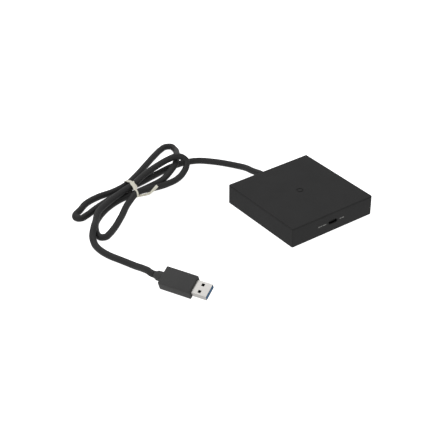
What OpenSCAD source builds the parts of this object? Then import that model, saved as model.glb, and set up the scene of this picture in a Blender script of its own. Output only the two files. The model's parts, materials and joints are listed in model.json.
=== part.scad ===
// Desk-top USB network adapter: a flat square case with a socket in its front,
// and a captive lead that ends in a USB-A plug, folded in four loops and held by a wire tie.
// Millimetres, +Z up. The origin is the centre of the case's footprint, on the table.
// The front (socket) faces -Y and the lead leaves the rear, +Y.

/* [Case] */
// Side of the square case
case_side = 81; // [79:1:84]
// Height of the case above the table, with its feet
case_height = 17.2; // [16.8:0.1:19]
// Thickness of the case walls
wall = 2; // [1.6:0.1:2.2]
// Radius of the case's upright corners
corner_r = 0.9; // [0.6:0.1:2]
// Radius of the case's top edges
edge_r = 0.5; // [0.3:0.1:1]
// How far the feet stand proud of the bottom cover
foot_proud = 0.4; // [0.3:0.1:0.8]

/* [Socket] */
// Height of the socket's centre above the table
port_z = 8.7; // [8.4:0.1:9]
// Width of the socket's metal shell
port_w = 8.94; // [8.8:0.02:9]
// Height of the socket's metal shell
port_h = 3.26; // [3.16:0.02:3.3]

/* [Lead] */
// Diameter of the lead
cable_d = 5.4; // [5:0.1:5.4]
// Height of the lead's centre where it leaves the case
cable_exit_z = 8.5; // [8:0.1:9]

/* [Plug] */
// Length of the plug's overmould
mould_l = 26; // [24:0.5:30]
// Width of the plug's overmould
mould_w = 16; // [14.6:0.1:16]
// Thickness of the plug's overmould
mould_h = 8.8; // [8.3:0.1:9.2]
// Tilt of the plug about its length, as it lies on one long edge
plug_roll = 22; // [0:0.5:30]
// How far the plug's nose dips
plug_dip = 1; // [0:0.5:2]
// Direction in which the plug points, from +X
plug_heading = -64; // [-70:0.5:-60]

/* [Hidden] */
$fn = 48;

case_half = case_side / 2;
case_base = foot_proud;
floor_t = 2;
floor_top = case_base + floor_t;
ceiling = case_height - wall;
inner_half = case_half - wall;
cover_gap = 0.1;

// plain ring sunk into the top, in its middle
ring_r = 2.9;
ring_w = 0.9;
ring_depth = 0.4;

// screw bosses, board posts and feet, as half spacings from the middle
boss_at = inner_half - 4.5;
boss_r = 3;
screw_r = 1.1;
head_r = 2.2;
head_h = 1.2;
post_x = 31;
post_y = 19;
post_r = 2;
foot_at = 27;
foot_r = 4;
foot_depth = 0.8;

// main board
board_top = port_z - port_h / 2;
board_t = 1.6;
board_x = 35;
board_y = 36;
board_notch = boss_at - boss_r - 1;

// radio section
shield_at = [-9, 4];
shield_size = [30, 26, 2.2];
sheet_t = 0.3;
chip_at = [20, -12];

// socket
port_front = -case_half + 0.5;
port_depth = 7.3;
port_sheet = 0.3;

// antennas on the side walls
antenna_l = 34;
antenna_h = 7;
antenna_t = 0.3;

// gland
gland_out = 3;
gland_y = case_half + gland_out;

// plug
relief_l = 7;
relief_r = 3.8;
shell_w = 12;
shell_h = 4.5;
shell_out = 12.25;
shell_in = 5;
shell_t = 0.3;
mould_edge = 0.9;
pocket = [16, 13, 6];

// route of the lead, in the order in which it runs from the case to the plug
route = [
    // from the gland down to the table and round to the bundle
    [0, gland_y, cable_exit_z], [0, 50.5, 8.1], [-0.8, 60, 6.5], [-0.5, 70, 4.7], [-3, 80, 3.1],
    [-8, 89, 2.7], [-15, 98, 2.7], [-24, 106.5, 2.7], [-34, 110.5, 2.7], [-47, 111.5, 2.7],
    [-62, 109.3, 2.7], [-79, 106, 2.7], [-95, 102.4, 3.6], [-115, 98.6, 2.7], [-134, 93, 2.7],
    // first loop, on the left, and back through the tie
    [-145, 88.8, 2.7], [-149.7, 87.8, 2.7], [-152.3, 89, 2.7], [-153.2, 91.4, 2.7], [-152.2, 93.8, 2.7],
    [-145, 98.5, 2.7], [-136.5, 104, 2.7], [-123, 107, 2.7], [-109, 106.2, 3], [-95.5, 108, 3.6],
    [-81.5, 115.5, 3],
    // second loop, on the right, which passes over the lead
    [-63, 127, 2.7], [-49, 135.5, 2.7], [-39, 140.8, 2.7], [-33, 142.6, 2.7], [-28.5, 140, 2.7],
    [-28.7, 134.5, 2.7], [-33.5, 124.5, 5.4], [-41, 114, 8.1], [-47.5, 106, 8.1], [-56.5, 100, 7],
    [-66.5, 96.5, 4.3], [-80.5, 95.6, 2.7], [-95.5, 93, 3.6], [-110.5, 93, 2.7], [-125, 88.5, 2.7],
    // third loop, on the left
    [-136.5, 82, 2.7], [-145.5, 74, 2.7], [-150, 66.5, 2.7], [-152.2, 60.5, 2.7], [-152.2, 56, 2.7],
    [-148.5, 53.8, 2.7], [-144.3, 55.6, 2.7], [-136.5, 60.5, 2.7], [-123.5, 71, 2.7], [-110, 82, 4.4],
    [-96.5, 88, 7.1], [-82.5, 89.2, 4.9],
    // fourth loop, on the right, which humps over the second
    [-67.5, 90.5, 2.7], [-55.5, 91.5, 3.2], [-47, 94.8, 4.8], [-41.7, 98, 7.5], [-39.2, 102, 10.3],
    [-41.3, 105.2, 12.9], [-46, 107.6, 13.8], [-52.5, 108.8, 12.8], [-63.5, 109.3, 10.2], [-79, 105.5, 8.6],
    [-95, 98, 8.6], [-112, 93, 8.1], [-128, 86.5, 8.1], [-138.5, 80.5, 8.1], [-147.5, 70, 8.1],
    // off the bundle and along the table to the plug
    [-153.5, 63, 8.1], [-158.3, 57.2, 5.4], [-161, 49.2, 2.7], [-161.5, 41, 2.7], [-159.8, 31, 2.7],
    [-155.8, 20, 2.7], [-151.8, 8, 3], [-150.6, -1, 5.2], [-150.4, -8, 7],
    [-150.3, -12.7, 7.4], [-149.3, -15.4, 7.4]];
cable_end = route[len(route) - 1];
plug_dir = [cos(plug_heading) * cos(plug_dip), sin(plug_heading) * cos(plug_dip), -sin(plug_dip)];
plug_origin = cable_end + plug_dir * (relief_l + mould_l);

// wire tie round the five passes of the lead
tie_at = [-96.3, 98.5];
tie_turn = -12;
tie_w = 3.6;
tie_t = 0.35;
tie_gap = 0.45;
tie_strands = [[10, 3.6], [3.8, 3.6], [-1, 8.6], [-5.7, 3.6], [-11.6, 7]];
tail_route = [[-99.2, 84.8, 4.6], [-97, 84.2, 4.2], [-94, 84, 4.2], [-91, 83.8, 4.6], [-87.5, 83.5, 5.6],
    [-84, 83.5, 7.5], [-80.5, 83.5, 9.2]];
tail_r = 0.8;

// coaxial leads of the antennas, on the left; the right one is its mirror image
coax_route = [[-37.1, 8, 9.3], [-35.5, 11, 9.3], [-33, 13, 9], [-30, 13.5, 8.5], [-27.4, 13.5, 7.9]];
coax_r = 0.55;
coax_plug_at = [-26.4, 13.5];

// ---- curve through points, and a round tube along it ----

function unit(v) = v / norm(v);
function slope(p, i) =
    i == 0 ? unit(p[1] - p[0])
    : i == len(p) - 1 ? unit(p[i] - p[i - 1])
    : (unit(p[i + 1] - p[i]) * norm(p[i] - p[i - 1]) + unit(p[i] - p[i - 1]) * norm(p[i + 1] - p[i]))
        / (norm(p[i] - p[i - 1]) + norm(p[i + 1] - p[i]));
function ring(p, i, r, sides) =
    let (along = unit(slope(p, i)), side = unit(cross(along, [0, 0, 1])), up = cross(side, along))
    [for (k = [0 : sides - 1]) p[i] + r * (side * cos(360 * k / sides) + up * sin(360 * k / sides))];

module tube(points, r, sides) {
    rings = len(points);
    corners = [for (i = [0 : rings - 1]) each ring(points, i, r, sides)];
    walls = [for (i = [0 : rings - 2], k = [0 : sides - 1])
        let (a = i * sides + k, b = i * sides + (k + 1) % sides)
        [a, b, b + sides, a + sides]];
    first = [for (k = [sides - 1 : -1 : 0]) k];
    last = [for (k = [0 : sides - 1]) (rings - 1) * sides + k];
    polyhedron(points = corners, faces = concat(walls, [first, last]), convexity = 10);
}

// ---- shared shapes ----

// rectangle with rounded corners, centred
module rounded_rect(x, y, r) {
    square([x - 2 * r, y], center = true);
    square([x, y - 2 * r], center = true);
    for (sx = [-1, 1], sy = [-1, 1])
        translate([sx * (x / 2 - r), sy * (y / 2 - r)]) circle(r);
}

// slot with round ends, centred, lying along X
module pill(w, h) {
    square([w - h, h], center = true);
    for (s = [-1, 1]) translate([s * (w - h) / 2, 0]) circle(h / 2);
}

// extrudes a shape drawn in X and Z along Y, from y0 over a length
module along_y(y0, l) {
    translate([0, y0 + l, 0]) rotate([90, 0, 0]) linear_extrude(l) children();
}

module four(x, y) {
    for (sx = [-1, 1], sy = [-1, 1]) translate([sx * x, sy * y, 0]) children();
}

module block(size, at) {
    translate([at[0] - size[0] / 2, at[1] - size[1] / 2, at[2]]) cube(size);
}

// profile of the case seen from a side: square at the bottom, rounded at the top
module case_profile() {
    h = case_height - case_base;
    translate([0, case_base + h / 2]) {
        translate([0, -edge_r]) square([case_side, h - 2 * edge_r], center = true);
        square([case_side - 2 * edge_r, h], center = true);
        for (s = [-1, 1]) translate([s * (case_half - edge_r), h / 2 - edge_r]) circle(edge_r);
    }
}

module case_block() {
    intersection() {
        linear_extrude(case_height) rounded_rect(case_side, case_side, corner_r);
        along_y(-case_half, case_side) case_profile();
        rotate([0, 0, 90]) along_y(-case_half, case_side) case_profile();
    }
}

// places a piece of the plug: +X is forward, +Z is the plug's upper face
module on_plug() {
    translate(plug_origin) rotate([0, plug_dip, plug_heading]) rotate([plug_roll, 0, 0]) children();
}

// extrudes a shape drawn in Y and Z along X, from x0 over a length
module along_x(x0, l) {
    translate([x0, 0, 0]) rotate([90, 0, 90]) linear_extrude(l) children();
}

// ---- case ----

module top_cover() {
    color([0.17, 0.17, 0.17]) {
        difference() {
            case_block();
            translate([0, 0, -1]) linear_extrude(ceiling + 1)
                rounded_rect(2 * inner_half, 2 * inner_half, 1);
            translate([0, 0, port_z]) along_y(-case_half - 1, wall + 2)
                pill(port_w + 0.3, port_h + 0.3);
            translate([0, 0, cable_exit_z]) along_y(inner_half - 1, wall + 2) circle(4.1);
            translate([0, 0, case_height - ring_depth]) difference() {
                cylinder(r = ring_r, h = 1);
                translate([0, 0, -1]) cylinder(r = ring_r - ring_w, h = 3);
            }
        }
        four(boss_at, boss_at) difference() {
            translate([0, 0, floor_top + cover_gap])
                cylinder(r = boss_r, h = ceiling - floor_top - cover_gap + 0.5);
            cylinder(r = screw_r + 0.1, h = 11);
        }
        four(post_x, post_y) translate([0, 0, board_top])
            cylinder(r = 1.5, h = ceiling - board_top + 0.5);
    }
}

module bottom_cover() {
    side = 2 * (inner_half - cover_gap);
    color([0.13, 0.13, 0.13]) difference() {
        union() {
            translate([0, 0, case_base]) linear_extrude(floor_t) rounded_rect(side, side, 1);
            four(post_x, post_y) translate([0, 0, floor_top - 0.5])
                cylinder(r = post_r, h = board_top - board_t - floor_top + 0.5);
        }
        four(boss_at, boss_at) {
            cylinder(r = screw_r + 0.3, h = 10);
            translate([0, 0, case_base - 1]) cylinder(r = head_r + 0.2, h = head_h + 1.1);
        }
        four(foot_at, foot_at) translate([0, 0, case_base - 1])
            cylinder(r = foot_r + 0.1, h = foot_depth + 1);
    }
}

module case_screws() {
    color("dimgray") four(boss_at, boss_at) translate([0, 0, case_base + 0.1]) difference() {
        union() {
            cylinder(r = head_r, h = head_h);
            cylinder(r = screw_r, h = 9);
        }
        for (turn = [0, 90]) rotate([0, 0, turn]) cube([2.6, 0.6, 1.2], center = true);
    }
}

module rubber_feet() {
    color([0.08, 0.08, 0.08]) four(foot_at, foot_at) cylinder(r = foot_r, h = foot_proud + foot_depth);
}

// ---- board ----

module main_board() {
    color("darkgreen") translate([0, 0, board_top - board_t]) linear_extrude(board_t) difference() {
        square([2 * board_x, 2 * board_y], center = true);
        four(board_notch + 10, board_notch + 10) square(20, center = true);
        translate([0, board_y]) square([12, 11], center = true);
    }
}

module shield_frame() {
    color("silver") translate([shield_at[0], shield_at[1], board_top]) difference() {
        block(shield_size, [0, 0, 0]);
        block([shield_size[0] - 2 * sheet_t, shield_size[1] - 2 * sheet_t, 4], [0, 0, -1]);
    }
}

module shield_lid() {
    lid_w = shield_size[0] + 0.8;
    lid_d = shield_size[1] + 0.8;
    lift = 0.4;
    color("gainsboro") translate([shield_at[0], shield_at[1], board_top]) difference() {
        block([lid_w, lid_d, shield_size[2] + sheet_t - lift], [0, 0, lift]);
        block([lid_w - 2 * sheet_t, lid_d - 2 * sheet_t, shield_size[2] + 1], [0, 0, -1]);
    }
}

module radio_chip() {
    color([0.1, 0.1, 0.1]) block([12, 12, 1], [shield_at[0], shield_at[1], board_top]);
}

module thermal_pad() {
    color("lightsteelblue") block([11, 11, shield_size[2] - 1.1], [shield_at[0], shield_at[1], board_top + 1]);
}

module bridge_chip() {
    color([0.1, 0.1, 0.1]) block([9, 9, 0.9], [chip_at[0], chip_at[1], board_top]);
}

module crystal() {
    color("silver") block([3.2, 2.5, 0.8], [chip_at[0], chip_at[1] + 9, board_top]);
}

module passives() {
    color("tan") {
        for (i = [0 : 5]) block([1.6, 0.8, 0.8], [chip_at[0] - 9, chip_at[1] - 5 + 2 * i, board_top]);
        for (i = [0 : 4]) block([0.8, 1.6, 0.8], [chip_at[0] - 5 + 2.5 * i, chip_at[1] - 8, board_top]);
        for (i = [0 : 3]) block([1, 0.5, 0.5], [shield_at[0] - 9 + 6 * i, shield_at[1] - 16, board_top]);
    }
    color("dimgray") block([4, 4, 2], [chip_at[0] + 4, chip_at[1] + 18, board_top]);
}

module antenna_sheet() {
    translate([-inner_half, -antenna_l / 2, 8]) difference() {
        cube([antenna_t, antenna_l, antenna_h]);
        translate([-1, 6, 2]) cube([3, antenna_l - 12, 1]);
        translate([-1, 6, 4]) cube([3, 1, 4]);
    }
}

module antenna_left() {
    color("goldenrod") antenna_sheet();
}

module antenna_right() {
    color("goldenrod") mirror([1, 0, 0]) antenna_sheet();
}

module coax_leads() {
    color([0.2, 0.2, 0.2]) for (m = [0, 1]) mirror([m, 0, 0]) tube(coax_route, coax_r, 8);
}

module coax_plugs() {
    color("gold") for (m = [0, 1]) mirror([m, 0, 0])
        translate([coax_plug_at[0], coax_plug_at[1], board_top]) cylinder(r = 1, h = 1.2);
}

module socket_shell() {
    color("silver") translate([0, 0, port_z]) {
        difference() {
            along_y(port_front, port_depth) pill(port_w, port_h);
            along_y(port_front - 1, port_depth) pill(port_w - 2 * port_sheet, port_h - 2 * port_sheet);
        }
    }
}

module socket_tongue() {
    color([0.06, 0.06, 0.06]) translate([0, 0, port_z]) {
        along_y(port_front + 0.8, 5.2) pill(6.7, 0.7);
        along_y(port_front + port_depth - 2.5, 1.4) pill(port_w - 2 * port_sheet - 0.1, port_h - 2 * port_sheet - 0.1);
    }
}

module socket_contacts() {
    pitch = 0.5;
    count = 12;
    color("gold") for (i = [0 : count - 1], s = [-1, 1])
        translate([(i - (count - 1) / 2) * pitch - 0.12, port_front + 1.1, port_z + s * 0.4 - 0.05])
            cube([0.24, 3.2, 0.1]);
}

// ---- where the lead enters ----

module wire_header() {
    color("ivory") difference() {
        block([14, 5, 4.4], [0, 21.5, board_top]);
        block([12.6, 3, 3.6], [0, 22.6, board_top + 1.2]);
    }
}

wire_colors = ["red", "white", "green", "black", "blue", "orange", "gray", "purple", "yellow"];

// the lead's jacket inside the case, and its nine wires to the header
module lead_wires() {
    y_jacket = inner_half - 2.1;
    y_header = 24;
    wires = len(wire_colors);
    color([0.15, 0.15, 0.15]) translate([0, y_jacket, cable_exit_z]) rotate([90, 0, 0]) cylinder(r = 2.3, h = 3);
    for (i = [0 : wires - 1]) {
        x = (i - (wires - 1) / 2) * 1.3;
        from = [x * 0.28, y_jacket - 2.9, cable_exit_z + (i % 2 == 0 ? 0.7 : -0.2)];
        to = [x, y_header - 0.9, board_top + 2.4];
        color(wire_colors[i]) tube([from, from - [0, 2.4, 0], to + [0, 2.4, 0], to], 0.3, 8);
    }
}

module cable_gland() {
    color([0.12, 0.12, 0.12]) translate([0, 0, cable_exit_z]) rotate([-90, 0, 0]) {
        translate([0, 0, inner_half - 1.9]) cylinder(r = 5.2, h = 1.8);
        translate([0, 0, inner_half - 0.5]) cylinder(r = 4, h = wall + 0.7);
        rotate_extrude() polygon([[0, case_half + 0.1], [4.8, case_half + 0.1], [4.8, case_half + 0.9],
            [3.6, gland_y], [0, gland_y]]);
    }
}

// ---- lead and tie ----

module cable() {
    color([0.2, 0.2, 0.2]) tube(route, cable_d / 2, 10);
}

module tie_outline(extra) {
    hull() for (s = tie_strands) translate(s) circle(cable_d / 2 + tie_gap + extra);
}

module wire_tie() {
    color([0.95, 0.92, 0.82]) {
        translate([tie_at[0], tie_at[1], 0]) rotate([0, 0, tie_turn])
            along_x(-tie_w / 2, tie_w) difference() {
                tie_outline(tie_t);
                tie_outline(0);
            }
        tube(tail_route, tail_r, 8);
    }
}

// ---- plug ----

module plug_strain_relief() {
    rib_w = 1.1;
    color([0.24, 0.24, 0.24]) on_plug() rotate([0, -90, 0]) rotate_extrude() union() {
        translate([0, mould_l]) square([relief_r - 0.6, relief_l]);
        for (i = [0 : 2]) translate([0, mould_l + i * 2]) square([relief_r - 0.2 * i, rib_w]);
    }
}

module plug_overmould() {
    color([0.24, 0.24, 0.24]) on_plug() difference() {
        intersection() {
            along_x(-mould_l, mould_l) rounded_rect(mould_w, mould_h, mould_edge);
            translate([-mould_l / 2, 0, -mould_h]) linear_extrude(2 * mould_h)
                rounded_rect(mould_l, mould_w, mould_edge);
        }
        along_x(-shell_in - 0.1, shell_in + 1) rounded_rect(shell_w + 0.1, shell_h + 0.1, 0.6);
        translate([-shell_in - 0.1 - pocket[0], -pocket[1] / 2, -pocket[2] / 2]) cube(pocket);
    }
}

module plug_inner_mould() {
    color("whitesmoke") on_plug() translate([-shell_in - pocket[0], -pocket[1] / 2 + 0.1, -pocket[2] / 2 + 0.1])
        cube([pocket[0] - 0.1, pocket[1] - 0.2, pocket[2] - 0.2]);
}

module plug_shell() {
    window = 2.3;
    color("silver") on_plug() difference() {
        along_x(-shell_in, shell_in + shell_out) rounded_rect(shell_w, shell_h, 0.5);
        along_x(-shell_in - 1, shell_in + shell_out + 2)
            rounded_rect(shell_w - 2 * shell_t, shell_h - 2 * shell_t, 0.3);
        for (s = [-1, 1]) translate([4.7, s * 3 - window / 2, -shell_h]) cube([window, window, 2 * shell_h]);
    }
}

module plug_tongue() {
    w = shell_w - 2 * shell_t - 0.1;
    h = shell_h - 2 * shell_t - 0.1;
    color("royalblue") on_plug() {
        translate([-shell_in, -w / 2, -h / 2]) cube([shell_in + 0.8, w, h]);
        translate([0, -w / 2, -h / 2]) cube([shell_out - 0.4, w, 1.85]);
    }
}

// top of the tongue, where the contacts lie
tongue_top = -(shell_h - 2 * shell_t - 0.1) / 2 + 1.85;

module plug_front_contacts() {
    pitches = [-3.5, -1, 1, 3.5];
    color("gold") on_plug() for (y = pitches) translate([4.4, y - 0.5, tongue_top]) cube([6, 1, 0.15]);
}

module plug_rear_contacts() {
    pitches = [-4, -2, 0, 2, 4];
    color("gold") on_plug() for (y = pitches) translate([1, y - 0.35, tongue_top]) cube([2.4, 0.7, 0.4]);
}

top_cover();
bottom_cover();
case_screws();
rubber_feet();
main_board();
shield_frame();
shield_lid();
radio_chip();
thermal_pad();
bridge_chip();
crystal();
passives();
antenna_left();
antenna_right();
coax_leads();
coax_plugs();
socket_shell();
socket_tongue();
socket_contacts();
wire_header();
lead_wires();
cable_gland();
cable();
plug_strain_relief();
plug_overmould();
plug_inner_mould();
plug_shell();
plug_tongue();
plug_front_contacts();
plug_rear_contacts();
wire_tie();
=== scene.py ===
"""Looks of a flat square USB network adapter with a folded lead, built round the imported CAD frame.

Metres and +Z up, in the frame's own axes: the case's footprint is centred on the origin, and its front
faces -Y.
"""

import math
import json

import bpy
import bmesh
from mathutils import Matrix, Vector


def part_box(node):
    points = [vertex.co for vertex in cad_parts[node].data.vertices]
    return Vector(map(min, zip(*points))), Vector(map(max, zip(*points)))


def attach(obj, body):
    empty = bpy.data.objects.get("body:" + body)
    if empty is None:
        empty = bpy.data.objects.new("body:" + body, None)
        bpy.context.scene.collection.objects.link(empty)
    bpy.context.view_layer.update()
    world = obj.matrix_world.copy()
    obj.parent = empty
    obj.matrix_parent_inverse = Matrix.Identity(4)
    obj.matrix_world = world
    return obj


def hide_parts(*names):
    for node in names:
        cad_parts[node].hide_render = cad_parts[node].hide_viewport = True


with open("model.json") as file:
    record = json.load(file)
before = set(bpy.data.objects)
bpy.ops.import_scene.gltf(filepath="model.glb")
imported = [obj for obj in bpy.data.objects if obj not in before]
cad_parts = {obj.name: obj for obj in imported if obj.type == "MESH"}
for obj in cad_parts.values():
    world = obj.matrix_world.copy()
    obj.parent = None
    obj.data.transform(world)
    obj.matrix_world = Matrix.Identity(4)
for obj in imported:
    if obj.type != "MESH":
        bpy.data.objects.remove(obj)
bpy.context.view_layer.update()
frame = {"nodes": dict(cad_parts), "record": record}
record = frame["record"]
mounts = {m["name"]: m for m in record["mounts"]}
MM = 0.001

# ---- route of the lead ----

LEAD_RADIUS = 2.7 * MM
LEAD_STEP = 0.9 * MM
LEAD_SIDES = 20

# The lead's centreline, the same points as in the CAD source.
ROUTE = [
    # from the gland down to the table and round to the bundle
    (0, 0.0435, 0.0085), (0, 0.0505, 0.0081), (-0.0008, 0.06, 0.0065),
    (-0.0005, 0.07, 0.0047), (-0.003, 0.08, 0.0031),
    (-0.008, 0.089, 0.0027), (-0.015, 0.098, 0.0027), (-0.024, 0.1065, 0.0027),
    (-0.034, 0.1105, 0.0027), (-0.047, 0.1115, 0.0027),
    (-0.062, 0.1093, 0.0027), (-0.079, 0.106, 0.0027), (-0.095, 0.1024, 0.0036),
    (-0.115, 0.0986, 0.0027), (-0.134, 0.093, 0.0027),
    # first loop, on the left, and back through the tie
    (-0.145, 0.0888, 0.0027), (-0.1497, 0.0878, 0.0027), (-0.1523, 0.089, 0.0027),
    (-0.1532, 0.0914, 0.0027), (-0.1522, 0.0938, 0.0027),
    (-0.145, 0.0985, 0.0027), (-0.1365, 0.104, 0.0027), (-0.123, 0.107, 0.0027),
    (-0.109, 0.1062, 0.003), (-0.0955, 0.108, 0.0036),
    (-0.0815, 0.1155, 0.003),
    # second loop, on the right, which passes over the lead
    (-0.063, 0.127, 0.0027), (-0.049, 0.1355, 0.0027), (-0.039, 0.1408, 0.0027),
    (-0.033, 0.1426, 0.0027), (-0.0285, 0.14, 0.0027),
    (-0.0287, 0.1345, 0.0027), (-0.0335, 0.1245, 0.0054), (-0.041, 0.114, 0.0081),
    (-0.0475, 0.106, 0.0081), (-0.0565, 0.1, 0.007),
    (-0.0665, 0.0965, 0.0043), (-0.0805, 0.0956, 0.0027), (-0.0955, 0.093, 0.0036),
    (-0.1105, 0.093, 0.0027), (-0.125, 0.0885, 0.0027),
    # third loop, on the left
    (-0.1365, 0.082, 0.0027), (-0.1455, 0.074, 0.0027), (-0.15, 0.0665, 0.0027),
    (-0.1522, 0.0605, 0.0027), (-0.1522, 0.056, 0.0027),
    (-0.1485, 0.0538, 0.0027), (-0.1443, 0.0556, 0.0027), (-0.1365, 0.0605, 0.0027),
    (-0.1235, 0.071, 0.0027), (-0.11, 0.082, 0.0044),
    (-0.0965, 0.088, 0.0071), (-0.0825, 0.0892, 0.0049),
    # fourth loop, on the right, which humps over the second
    (-0.0675, 0.0905, 0.0027), (-0.0555, 0.0915, 0.0032), (-0.047, 0.0948, 0.0048),
    (-0.0417, 0.098, 0.0075), (-0.0392, 0.102, 0.0103),
    (-0.0413, 0.1052, 0.0129), (-0.046, 0.1076, 0.0138), (-0.0525, 0.1088, 0.0128),
    (-0.0635, 0.1093, 0.0102), (-0.079, 0.1055, 0.0086),
    (-0.095, 0.098, 0.0086), (-0.112, 0.093, 0.0081), (-0.128, 0.0865, 0.0081),
    (-0.1385, 0.0805, 0.0081), (-0.1475, 0.07, 0.0081),
    # off the bundle and along the table to the plug
    (-0.1535, 0.063, 0.0081), (-0.1583, 0.0572, 0.0054), (-0.161, 0.0492, 0.0027),
    (-0.1615, 0.041, 0.0027), (-0.1598, 0.031, 0.0027),
    (-0.1558, 0.02, 0.0027), (-0.1518, 0.008, 0.003), (-0.1506, -0.001, 0.0052), (-0.1504, -0.008, 0.007),
    (-0.1503, -0.0127, 0.0074), (-0.1493, -0.0154, 0.0074),
]


def unit(v):
    return v / v.length


def route_slope(points, i):
    """Direction of the curve at a point, leaning towards the shorter of the spans beside it."""
    if i == 0:
        return unit(points[1] - points[0])
    if i == len(points) - 1:
        return unit(points[i] - points[i - 1])
    after, before = points[i + 1] - points[i], points[i] - points[i - 1]
    return (unit(after) * before.length + unit(before) * after.length) / (after.length + before.length)


def smooth_line(points, step):
    """Points about step apart on a smooth curve through the given ones."""
    points = [Vector(p) for p in points]
    line = [points[0]]
    for i in range(len(points) - 1):
        a, b = points[i], points[i + 1]
        span = (b - a).length
        start, end = route_slope(points, i) * span, route_slope(points, i + 1) * span
        count = max(1, round(span / step))
        for k in range(1, count + 1):
            t = k / count
            line.append(
                a * (2 * t**3 - 3 * t**2 + 1)
                + start * (t**3 - 2 * t**2 + t)
                + b * (3 * t**2 - 2 * t**3)
                + end * (t**3 - t**2)
            )
    return line


# ---- mesh helpers ----


def new_mesh(name, points, faces, smooth=True):
    """A mesh object from points and faces, with its normals turned outwards."""
    mesh = bpy.data.meshes.new(name)
    mesh.from_pydata([tuple(p) for p in points], [], faces)
    build = bmesh.new()
    build.from_mesh(mesh)
    bmesh.ops.recalc_face_normals(build, faces=build.faces)
    build.to_mesh(mesh)
    build.free()
    mesh.polygons.foreach_set("use_smooth", [smooth] * len(mesh.polygons))
    obj = bpy.data.objects.new(name, mesh)
    bpy.context.scene.collection.objects.link(obj)
    return obj


def frames_along(line, up=Vector((0, 0, 1))):
    """(centre, side, up) at each point of a line, without twist: each frame is the last one carried on."""
    result = []
    for i, p in enumerate(line):
        along = unit(line[min(i + 1, len(line) - 1)] - line[max(i - 1, 0)])
        up = unit(up - along * up.dot(along))
        result.append((p, along.cross(up), up))
    return result


def loft(name, rings, closed=False, smooth=True):
    """A closed skin over rings of equally many points; its ends are capped, or joined if it is closed."""
    sides = len(rings[0])
    points = [p for ring in rings for p in ring]
    faces = []
    for i in range(len(rings) if closed else len(rings) - 1):
        here, there = i * sides, (i + 1) % len(rings) * sides
        for k in range(sides):
            after = (k + 1) % sides
            faces.append((here + k, here + after, there + after, there + k))
    if not closed:
        last = (len(rings) - 1) * sides
        faces.append(tuple(reversed(range(sides))))
        faces.append(tuple(range(last, last + sides)))
    return new_mesh(name, points, faces, smooth)


def settle(obj):
    """Applies an object's modifiers."""
    evaluated = obj.evaluated_get(bpy.context.evaluated_depsgraph_get())
    mesh = bpy.data.meshes.new_from_object(evaluated)
    obj.modifiers.clear()
    obj.data = mesh
    return obj


def cut(obj, *tools):
    """Takes the tools' volume out of an object, and removes the tools."""
    for tool in tools:
        modifier = obj.modifiers.new("cut", "BOOLEAN")
        modifier.operation = "DIFFERENCE"
        modifier.solver = "EXACT"
        modifier.object = tool
        bpy.context.view_layer.update()
        settle(obj)
        bpy.data.objects.remove(tool)
    return obj


def shade_by_angle(obj, angle=35):
    """Smooth faces that meet in a sharp edge wherever they turn by more than the angle."""
    mesh = obj.data
    mesh.polygons.foreach_set("use_smooth", [True] * len(mesh.polygons))
    build = bmesh.new()
    build.from_mesh(mesh)
    for edge in build.edges:
        edge.smooth = len(edge.link_faces) == 2 and edge.calc_face_angle(0) < math.radians(angle)
    build.to_mesh(mesh)
    build.free()
    return obj


def join(name, objects):
    """One object from several."""
    first = objects[0]
    with bpy.context.temp_override(active_object=first, selected_editable_objects=objects):
        bpy.ops.object.join()
    first.name = name
    first.data.name = name
    return first


def rounded_outline(width, height, radius, corner_points=6):
    """Points round a rectangle with rounded corners, centred on the origin, as (across, up) pairs."""
    outline = []
    for turn, (sx, sy) in enumerate([(1, 1), (-1, 1), (-1, -1), (1, -1)]):
        for k in range(corner_points + 1):
            angle = math.pi / 2 * (turn + k / corner_points)
            outline.append((sx * (width / 2 - radius) + radius * math.cos(angle),
                            sy * (height / 2 - radius) + radius * math.sin(angle)))
    return outline


def dress(obj, material, slot, *replaced):
    """Gives a new piece its material and its ride, and hides the CAD nodes that it stands for; the slot
    argument is not used.
    """
    obj.data.materials.clear()
    obj.data.materials.append(material)
    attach(obj, "root")
    if replaced:
        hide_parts(*replaced)
    return obj


# ---- materials ----


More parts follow.
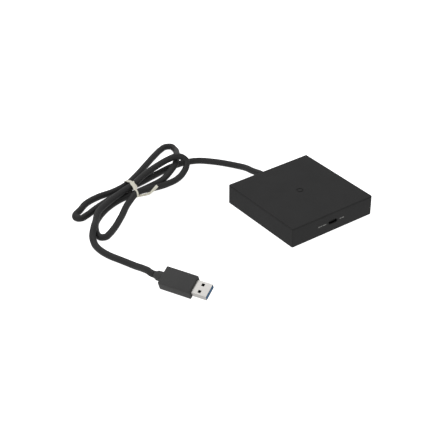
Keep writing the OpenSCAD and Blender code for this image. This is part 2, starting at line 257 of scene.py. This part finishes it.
def surface(name, colour, rough, specular=0.5, metallic=0.0, mottle=0.08, mottle_scale=60.0,
            grain=0.00002, grain_scale=3500.0, rough_spread=0.08, stretch=(1, 1, 1), sheen=0.0):
    """A procedural finish: colour that varies softly, a fine grain in relief, and roughness that follows it.

    stretch scales the grain along each axis, so that a small number draws it out into brush lines.
    """
    material = bpy.data.materials.new(name)
    material.use_nodes = True
    nodes, links = material.node_tree.nodes, material.node_tree.links
    shader = nodes["Principled BSDF"]
    shader.inputs["Metallic"].default_value = metallic
    shader.inputs["Specular IOR Level"].default_value = specular
    shader.inputs["Sheen Weight"].default_value = sheen
    where = nodes.new("ShaderNodeTexCoord")
    drawn = nodes.new("ShaderNodeMapping")
    drawn.inputs["Scale"].default_value = stretch
    links.new(where.outputs["Object"], drawn.inputs["Vector"])

    patches = nodes.new("ShaderNodeTexNoise")
    patches.inputs["Scale"].default_value = mottle_scale
    patches.inputs["Detail"].default_value = 4
    links.new(where.outputs["Object"], patches.inputs["Vector"])
    tint = nodes.new("ShaderNodeValToRGB")
    tint.color_ramp.elements[0].position = 0.3
    tint.color_ramp.elements[1].position = 0.7
    tint.color_ramp.elements[0].color = [c * (1 - mottle) for c in colour] + [1]
    tint.color_ramp.elements[1].color = [min(1, c * (1 + mottle)) for c in colour] + [1]
    links.new(patches.outputs["Fac"], tint.inputs["Fac"])
    links.new(tint.outputs["Color"], shader.inputs["Base Color"])

    fine = nodes.new("ShaderNodeTexNoise")
    fine.inputs["Scale"].default_value = grain_scale
    fine.inputs["Detail"].default_value = 3
    links.new(drawn.outputs["Vector"], fine.inputs["Vector"])
    relief = nodes.new("ShaderNodeBump")
    relief.inputs["Strength"].default_value = 0.6
    relief.inputs["Distance"].default_value = grain
    links.new(fine.outputs["Fac"], relief.inputs["Height"])
    links.new(relief.outputs["Normal"], shader.inputs["Normal"])

    polish = nodes.new("ShaderNodeMapRange")
    polish.inputs["To Min"].default_value = rough - rough_spread
    polish.inputs["To Max"].default_value = min(1, rough + rough_spread)
    links.new(fine.outputs["Fac"], polish.inputs["Value"])
    links.new(polish.outputs["Result"], shader.inputs["Roughness"])
    return material


finishes = {
    "case_plastic": surface("case_plastic", (0.031, 0.031, 0.0312), 0.62, 0.2, mottle=0.06, grain=0.00003),
    "base_plastic": surface("base_plastic", (0.02, 0.02, 0.0205), 0.7, 0.2, grain=0.00003),
    "foot_rubber": surface("foot_rubber", (0.012, 0.012, 0.012), 0.85, 0.2, grain=0.00004, grain_scale=2200),
    "screw_steel": surface("screw_steel", (0.35, 0.35, 0.36), 0.4, metallic=1, grain=0.000008),
    "board": surface("board", (0.012, 0.09, 0.035), 0.35, 0.5, mottle=0.25, mottle_scale=220, grain=0.00001),
    "shield_steel": surface("shield_steel", (0.6, 0.6, 0.59), 0.35, metallic=1, stretch=(0.05, 1, 1),
                            grain=0.000006),
    "chip_black": surface("chip_black", (0.012, 0.012, 0.013), 0.65, 0.4, grain=0.00001, grain_scale=6000),
    "pad_grey": surface("pad_grey", (0.32, 0.38, 0.46), 0.8, 0.3),
    "ceramic": surface("ceramic", (0.45, 0.33, 0.2), 0.5, 0.4),
    "gold_contact": surface("gold_contact", (0.85, 0.6, 0.22), 0.25, metallic=1, grain=0.000003,
                            stretch=(1, 0.1, 1)),
    "coax_jacket": surface("coax_jacket", (0.02, 0.02, 0.02), 0.4, 0.4),
    # Painted shade: the socket's metal gets a near-black colour so that the slot in the case front reads
    # dark, as shade inside it would.
    "socket_metal": surface("socket_metal", (0.08, 0.08, 0.082), 0.35, metallic=1, grain=0.000004),
    "socket_black": surface("socket_black", (0.012, 0.012, 0.012), 0.6, 0.3),
    "header_ivory": surface("header_ivory", (0.72, 0.68, 0.55), 0.5, 0.4),
    "wire_jackets": surface("wire_jackets", (0.25, 0.05, 0.04), 0.4, 0.4, mottle=0.3, mottle_scale=400),
    "cable_jacket": surface("cable_jacket", (0.03, 0.03, 0.0302), 0.5, 0.28, mottle=0.1, mottle_scale=90,
                            grain=0.000025, grain_scale=2600),
    "mould_grey": surface("mould_grey", (0.0665, 0.0665, 0.066), 0.6, 0.25, mottle=0.05, grain=0.00003),
    "mould_white": surface("mould_white", (0.62, 0.62, 0.6), 0.5, 0.4),
    "plug_metal": surface("plug_metal", (0.66, 0.643, 0.62), 0.32, metallic=1, mottle=0.03, grain=0.0000005,
                          grain_scale=2500, stretch=(0.08, 1, 1)),
    "tongue_blue": surface("tongue_blue", (0.1, 0.25, 0.46), 0.45, 0.3, mottle=0.06),
    "tie_cream": surface("tie_cream", (0.95, 0.89, 0.76), 0.55, 0.4, mottle=0.12, mottle_scale=350,
                         grain=0.00006, grain_scale=1400, sheen=0.2),
    "mark_pale": surface("mark_pale", (0.32, 0.32, 0.31), 0.6, 0.2, mottle=0.15, mottle_scale=900),
}

for part in record["subparts"]:
    node = frame["nodes"][part["node"]]
    node.data.materials.clear()
    node.data.materials.append(finishes[part["material_slot"]])

# ---- camera ----

CAMERA_AT = (-0.5248, -0.6048, 0.5093)
CAMERA_AZIMUTH = math.radians(-36.51)
CAMERA_ELEVATION = math.radians(33.2)
CAMERA_LENS = 95.55
CAMERA_SENSOR = 36


def make_camera():
    """The camera at the reference view."""
    azimuth, elevation = CAMERA_AZIMUTH, CAMERA_ELEVATION
    back = Vector((math.sin(azimuth) * math.cos(elevation), -math.cos(azimuth) * math.cos(elevation),
                   math.sin(elevation)))
    data = bpy.data.cameras.new("camera")
    data.lens, data.sensor_width = CAMERA_LENS, CAMERA_SENSOR
    data.clip_start, data.clip_end = 0.01, 20
    camera = bpy.data.objects.new("camera", data)
    camera.location = CAMERA_AT
    camera.rotation_mode = "QUATERNION"
    camera.rotation_quaternion = (-back).to_track_quat("-Z", "Y")
    bpy.context.scene.collection.objects.link(camera)
    bpy.context.scene.camera = camera


make_camera()

# ---- lead ----


def make_lead():
    """The lead's jacket, kept from dipping under the table, and its centreline."""
    line = [Vector((p.x, p.y, max(p.z, LEAD_RADIUS))) for p in smooth_line(ROUTE, LEAD_STEP)]
    rings = []
    for centre, side, up in frames_along(line):
        rings.append([centre + (side * math.cos(a) + up * math.sin(a)) * LEAD_RADIUS
                      for a in (2 * math.pi * k / LEAD_SIDES for k in range(LEAD_SIDES))])
    return dress(loft("lead", rings), finishes["cable_jacket"], "cable_jacket", "cable"), line


lead, lead_line = make_lead()

# ---- plug ----

SHELL_OUT = 12.25 * MM
MOULD_LENGTH, MOULD_WIDTH, MOULD_HEIGHT = 26 * MM, 16 * MM, 8.8 * MM
MOULD_CORNER = 1.1 * MM
REAR_EDGE, FRONT_EDGE = 0.9 * MM, 0.5 * MM
WELL_WIDTH, WELL_HEIGHT, WELL_DEPTH = 12.7 * MM, 5.2 * MM, 0.35 * MM
PLUG_ROLL = math.radians(22)
# The strain relief's outline, from the mould's rear face back: (along, radius) in millimetres.
BOOT_PROFILE = [(0.3, 3.95), (-4.6, 3.8), (-4.95, 3.7), (-5.15, 3.4), (-5.2, 3.1), (-6.6, 2.9), (-6.9, 2.8),
                (-7.0, 2.6), (-7.0, 2.4)]
BOOT_SIDES = 40
TONGUE_WIDTH, TONGUE_BOTTOM, TONGUE_TOP = 11.3 * MM, -1.9 * MM, -0.05 * MM
NOTCH_DEPTH, NOTCH_WIDTH, NOTCH_HEIGHT = 1.1 * MM, 1.5 * MM, 1.2 * MM
ROOT_LENGTH, ROOT_HEIGHT = 5 * MM, 3.8 * MM
# Painted shade: a dark plate inside the plug's shell stands for the shade seen through the shell's windows.
SHADE_PLATE_WIDTH, SHADE_PLATE_THICKNESS = 11.2 * MM, 0.3 * MM
SHADE_PLATE_FRONT = SHELL_OUT - 2.6 * MM


def plug_axes():
    """The plug's own frame, at the middle of the mould's front face: X forward, Y across, Z upwards."""
    tip = Vector(mounts["usb_a_plug"]["pos_m"])
    forward = unit(Vector(mounts["usb_a_plug"]["axis"]))
    level = unit(Vector((0, 0, 1)).cross(forward))
    across = level * math.cos(PLUG_ROLL) + forward.cross(level) * math.sin(PLUG_ROLL)
    matrix = Matrix((forward, across, forward.cross(across))).transposed().to_4x4()
    matrix.translation = tip - forward * SHELL_OUT
    return matrix


PLUG = plug_axes()


def on_plug(obj):
    """Moves a piece made in the plug's own frame to its place."""
    obj.data.transform(PLUG)
    return obj


def sections(stations, corner_points=6):
    """Rings of a rounded bar along X from (x, width, height, radius) stations."""
    return [[Vector((x, y, z)) for y, z in rounded_outline(width, height, radius, corner_points)]
            for x, width, height, radius in stations]


def plain_bar(name, back, front, width, height, corner, corner_points=2):
    """A bar along X with flat faces and small rounded corners."""
    stations = [(x, width, height, corner) for x in (back, front)]
    return loft(name, sections(stations, corner_points), smooth=False)


def make_plug_body():
    """The overmould: a bar with rounded ends and edges, and a shallow well where the shell comes out."""
    rounding = [math.radians(a) for a in (0, 18, 36, 54, 72, 90)]
    stations = []
    for a in rounding:
        stations.append((-MOULD_LENGTH + REAR_EDGE * (1 - math.cos(a)), REAR_EDGE * (1 - math.sin(a))))
    for a in reversed(rounding):
        stations.append((-FRONT_EDGE * (1 - math.cos(a)), FRONT_EDGE * (1 - math.sin(a))))
    rings = sections([(x, MOULD_WIDTH - 2 * inset, MOULD_HEIGHT - 2 * inset,
                       max(MOULD_CORNER - inset, 0.2 * MM)) for x, inset in stations], 8)
    body = loft("plug_body", rings)
    well = loft("well", sections([(x, WELL_WIDTH, WELL_HEIGHT, 0.7 * MM) for x in (-WELL_DEPTH, 1 * MM)]))
    cut(body, well)
    return dress(on_plug(shade_by_angle(body)), finishes["mould_grey"], "mould_grey",
                 "plug_overmould", "plug_inner_mould")


def make_boot():
    """The strain relief: a smooth collar with a small step at its end, turned about the plug's axis."""
    turns = [2 * math.pi * k / BOOT_SIDES for k in range(BOOT_SIDES)]
    rings = [[Vector((-MOULD_LENGTH + x * MM, r * MM * math.cos(a), r * MM * math.sin(a))) for a in turns]
             for x, r in BOOT_PROFILE]
    return dress(on_plug(shade_by_angle(loft("plug_boot", rings), 50)), finishes["mould_grey"], "mould_grey",
                 "plug_strain_relief")


def make_tongue():
    """The plug's tongue: notched along its front edge, flat behind, with a block at its root."""
    thickness = TONGUE_TOP - TONGUE_BOTTOM
    front = SHELL_OUT - 0.4 * MM
    bar = loft("tongue_bar", sections([(0.2 * MM, TONGUE_WIDTH, thickness, 0.1 * MM),
                                       (front - 0.4 * MM, TONGUE_WIDTH, thickness, 0.1 * MM),
                                       (front, TONGUE_WIDTH - 0.3 * MM, thickness - 0.5 * MM, 0.1 * MM)], 2),
               smooth=False)
    bar.data.transform(Matrix.Translation((0, 0, (TONGUE_TOP + TONGUE_BOTTOM) / 2)))
    notches = []
    for y in (-3.5, -1, 1, 3.5):
        tool = plain_bar("notch", front - NOTCH_DEPTH, front + 1 * MM, NOTCH_WIDTH, NOTCH_HEIGHT, 0.1 * MM)
        tool.data.transform(Matrix.Translation((0, y * MM, TONGUE_TOP)))
        notches.append(tool)
    cut(bar, *notches)
    root = plain_bar("tongue_block", -ROOT_LENGTH, 0.1 * MM, TONGUE_WIDTH, ROOT_HEIGHT, 0.3 * MM, 6)
    return dress(on_plug(join("plug_tongue_bar", [bar, root])), finishes["tongue_blue"], "tongue_blue",
                 "plug_tongue")


def make_painted_shade_plate():
    """Painted shade: a dark plate over the tongue behind its front edge. It stands for the shade inside the
    shell that shows through the shell's windows.
    """
    plate = plain_bar("dark_shade_plate", 0.2 * MM, SHADE_PLATE_FRONT, SHADE_PLATE_WIDTH, SHADE_PLATE_THICKNESS, 0.1 * MM)
    plate.data.transform(Matrix.Translation((0, 0, 0.12 * MM)))
    return dress(on_plug(plate), finishes["socket_black"], "mould_grey")


plug_pieces = [make_plug_body(), make_boot(), make_tongue(), make_painted_shade_plate()]

# ---- wire tie ----

TIE_AT = Vector((-96.3 * MM, 98.5 * MM, 0))
TIE_TURN = math.radians(-12)
TIE_GAP = 0.1 * MM
TIE_WIDTH, NECK_WIDTH = 3.7 * MM, 1.4 * MM
TIE_THICKNESS = 0.3 * MM
WIRE_BUMP = 0.25 * MM
TWIST_PITCH = 3.6 * MM
TWISTED_LENGTH = 13 * MM
TAIL_WIDTH, TAIL_OFFSET = 1.8 * MM, 0.5 * MM
SHORT_TAIL = 0.72
# The twisted tails' centreline, from the band out and up.
TAIL = [(-0.0994, 0.0848, 0.0062), (-0.097, 0.0845, 0.0057), (-0.094, 0.0843, 0.0053),
        (-0.091, 0.0838, 0.0051), (-0.088, 0.0834, 0.0054), (-0.0845, 0.0835, 0.0071),
        (-0.0805, 0.0838, 0.0094)]


def tie_strands():
    """Where the lead's passes go through the tie, as (across, up, half width) in the tie's own plane."""
    along = Vector((math.cos(TIE_TURN), math.sin(TIE_TURN), 0))
    across = Vector((-along.y, along.x, 0))
    found = []
    for a, b in zip(lead_line, lead_line[1:]):
        da, db = (a - TIE_AT).dot(along), (b - TIE_AT).dot(along)
        if da * db <= 0 and abs((a - TIE_AT).dot(across)) < 15 * MM:
            hit = a.lerp(b, da / (da - db))
            found.append(((hit - TIE_AT).dot(across), hit.z, LEAD_RADIUS / abs(unit(b - a).dot(along))))
    return along, across, found


def hull_of(points):
    """Convex hull of 2D points, anticlockwise."""
    points = sorted(set(points))

    def half(ordered):
        chain = []
        for p in ordered:
            while len(chain) > 1 and ((chain[-1][0] - chain[-2][0]) * (p[1] - chain[-2][1])
                                      - (chain[-1][1] - chain[-2][1]) * (p[0] - chain[-2][0])) <= 0:
                chain.pop()
            chain.append(p)
        return chain[:-1]

    return half(points) + half(points[::-1])


def ribbon_profile(width, thickness, bump, steps=10):
    """Section of a flat ribbon with a wire down its middle, as (across, out) pairs."""
    outer, inner = [], []
    for k in range(steps + 1):
        u = -1 + 2 * k / steps
        swell = bump * math.exp(-((u / 0.28) ** 2))
        outer.append((u * width / 2, thickness / 2 + swell))
        inner.append((u * width / 2, -thickness / 2))
    return outer + inner[::-1]


def make_band():
    """The tie's band: a ribbon pulled tight round the strands, gathered narrow on one side."""
    along, across, strands = tie_strands()
    clear = TIE_GAP + TIE_THICKNESS / 2
    ring = hull_of([(y + (half + clear) * math.cos(a), z + (LEAD_RADIUS + clear) * math.sin(a))
                    for y, z, half in strands for a in (2 * math.pi * k / 48 for k in range(48))])
    even = []
    for (ya, za), (yb, zb) in zip(ring, ring[1:] + ring[:1]):
        count = max(1, round(math.hypot(yb - ya, zb - za) / (0.5 * MM)))
        even += [(ya + (yb - ya) * k / count, za + (zb - za) * k / count) for k in range(count)]
    rings = []
    low = min(y for y, z in even)
    for i, (y, z) in enumerate(even):
        before, after = even[i - 1], even[(i + 1) % len(even)]
        tangent = Vector((after[0] - before[0], after[1] - before[1])).normalized()
        out = across * tangent.y - Vector((0, 0, 1)) * tangent.x
        middle = TIE_AT + across * y + Vector((0, 0, z))
        spread = min(1, max(0, (y - low) / MM - 3) / 4)
        width = NECK_WIDTH + (TIE_WIDTH - NECK_WIDTH) * spread**0.7
        lean = 0.25 * MM * math.sin(0.9 * y / MM + 1) + 0.5 * MM * spread
        rings.append([middle + along * (u + lean) + out * v
                      for u, v in ribbon_profile(width, TIE_THICKNESS, WIRE_BUMP)])
    return loft("tie_band", rings, closed=True)


def make_tail(name, line, turn):
    """One end of the tie: it winds round its partner for a length, then runs free and flares."""
    rings, gone = [], 0
    for i, (centre, side, up) in enumerate(frames_along(line)):
        gone += (line[i] - line[i - 1]).length if i else 0
        angle = turn + 2 * math.pi * min(gone, TWISTED_LENGTH) / TWIST_PITCH
        free = max(0, gone - TWISTED_LENGTH) / MM
        held = TAIL_OFFSET * max(0, 1 - free / 4)
        out = side * math.cos(angle) + up * math.sin(angle)
        flat = -side * math.sin(angle) + up * math.cos(angle)
        spread = TAIL_WIDTH * (1 + 0.35 * min(1, free / 5))
        rings.append([centre + out * (held + v) + flat * u
                      for u, v in ribbon_profile(spread, TIE_THICKNESS, WIRE_BUMP)])
    return loft(name, rings)


def make_tie():
    """The wire tie: its band and its two tails, one shorter than the other."""
    line = smooth_line(TAIL, 0.3 * MM)
    short = line[: int(len(line) * SHORT_TAIL)]
    parts = [make_band(), make_tail("tail_a", line, 0), make_tail("tail_b", short, math.pi)]
    return dress(shade_by_angle(join("tie", parts), 60), finishes["tie_cream"], "tie_cream", "wire_tie")


tie = make_tie()

# ---- case ----

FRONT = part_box("top_cover")[0].y
MARK_HEIGHT = 0.95 * MM
MARK_DEPTH = 0.05 * MM
MARK_GAP = 0.35 * MM
# Rows of dashes: where each starts, and its dashes' widths, in millimetres.
MARK_ROWS = [(-14.8, (1.4, 0.5, 0.9)), (-10.6, (0.5, 1.6, 0.9)), (7.0, (1.2, 0.5, 1.9))]


def make_front_marks():
    """Plain printed dashes on both sides of the socket."""
    middle = mounts["usb_c_socket"]["pos_m"][2]
    bars = []
    for start, widths in MARK_ROWS:
        x = start * MM
        for width in widths:
            bar = plain_bar("bar", 0, MARK_DEPTH, width * MM, MARK_HEIGHT, 0.2 * MM, 3)
            bar.data.transform(Matrix.Translation((x + width * MM / 2, FRONT + 0.01 * MM, middle))
                               @ Matrix.Rotation(-math.pi / 2, 4, "Z"))
            bars.append(bar)
            x += width * MM + MARK_GAP
    return dress(join("front_marks", bars), finishes["mark_pale"], "case_plastic")


make_front_marks()

# ---- studio ----

FLOOR_GLOW = 1
LIGHT_AIM = (-0.06, 0.03, 0)


def make_floor():
    """A pale table lit from within, so that it stays white under the object and throws nothing back at it."""
    size = 6
    floor = new_mesh("floor", [(-size, -size, 0), (size, -size, 0), (size, size, 0), (-size, size, 0)],
                     [(0, 1, 2, 3)], smooth=False)
    floor.location.z = -0.0001
    material = bpy.data.materials.new("floor")
    material.use_nodes = True
    shader = material.node_tree.nodes["Principled BSDF"]
    shader.inputs["Base Color"].default_value = (0.9, 0.9, 0.9, 1)
    shader.inputs["Roughness"].default_value = 0.9
    shader.inputs["Specular IOR Level"].default_value = 0.1
    shader.inputs["Emission Color"].default_value = (1, 1, 1, 1)
    shader.inputs["Emission Strength"].default_value = FLOOR_GLOW
    floor.data.materials.append(material)
    floor.visible_diffuse = False
    floor.visible_glossy = False


def make_softbox(name, at, size, power):
    """A square area light that faces the object."""
    data = bpy.data.lights.new(name, "AREA")
    data.shape = "SQUARE"
    data.size = size
    data.energy = power
    light = bpy.data.objects.new(name, data)
    light.location = at
    light.rotation_mode = "QUATERNION"
    light.rotation_quaternion = (Vector(LIGHT_AIM) - Vector(at)).to_track_quat("-Z", "Y")
    bpy.context.scene.collection.objects.link(light)


def make_sky(below, level, above):
    """Even light whose strength changes from straight below, through the horizon, to straight above."""
    world = bpy.data.worlds.new("studio")
    world.use_nodes = True
    nodes, links = world.node_tree.nodes, world.node_tree.links
    where = nodes.new("ShaderNodeTexCoord")
    split = nodes.new("ShaderNodeSeparateXYZ")
    height = nodes.new("ShaderNodeMapRange")
    height.inputs["From Min"].default_value = -1
    ramp = nodes.new("ShaderNodeValToRGB")
    middle = ramp.color_ramp.elements.new(0.5)
    stops = ramp.color_ramp.elements
    for stop, strength in ((stops[0], below), (middle, level), (stops[2], above)):
        stop.color = (strength, strength, strength, 1)
    links.new(where.outputs["Generated"], split.inputs["Vector"])
    links.new(split.outputs["Z"], height.inputs["Value"])
    links.new(height.outputs["Result"], ramp.inputs["Fac"])
    links.new(ramp.outputs["Color"], nodes["Background"].inputs["Color"])
    bpy.context.scene.world = world


make_floor()
make_sky(below=0.72, level=0.66, above=0.4)
make_softbox("overhead", at=(-0.1, 0.4, 1), size=1, power=2.3)
make_softbox("key", at=(-1, -0.3, 0.6), size=0.8, power=1)
bpy.context.scene.view_settings.view_transform = "Standard"
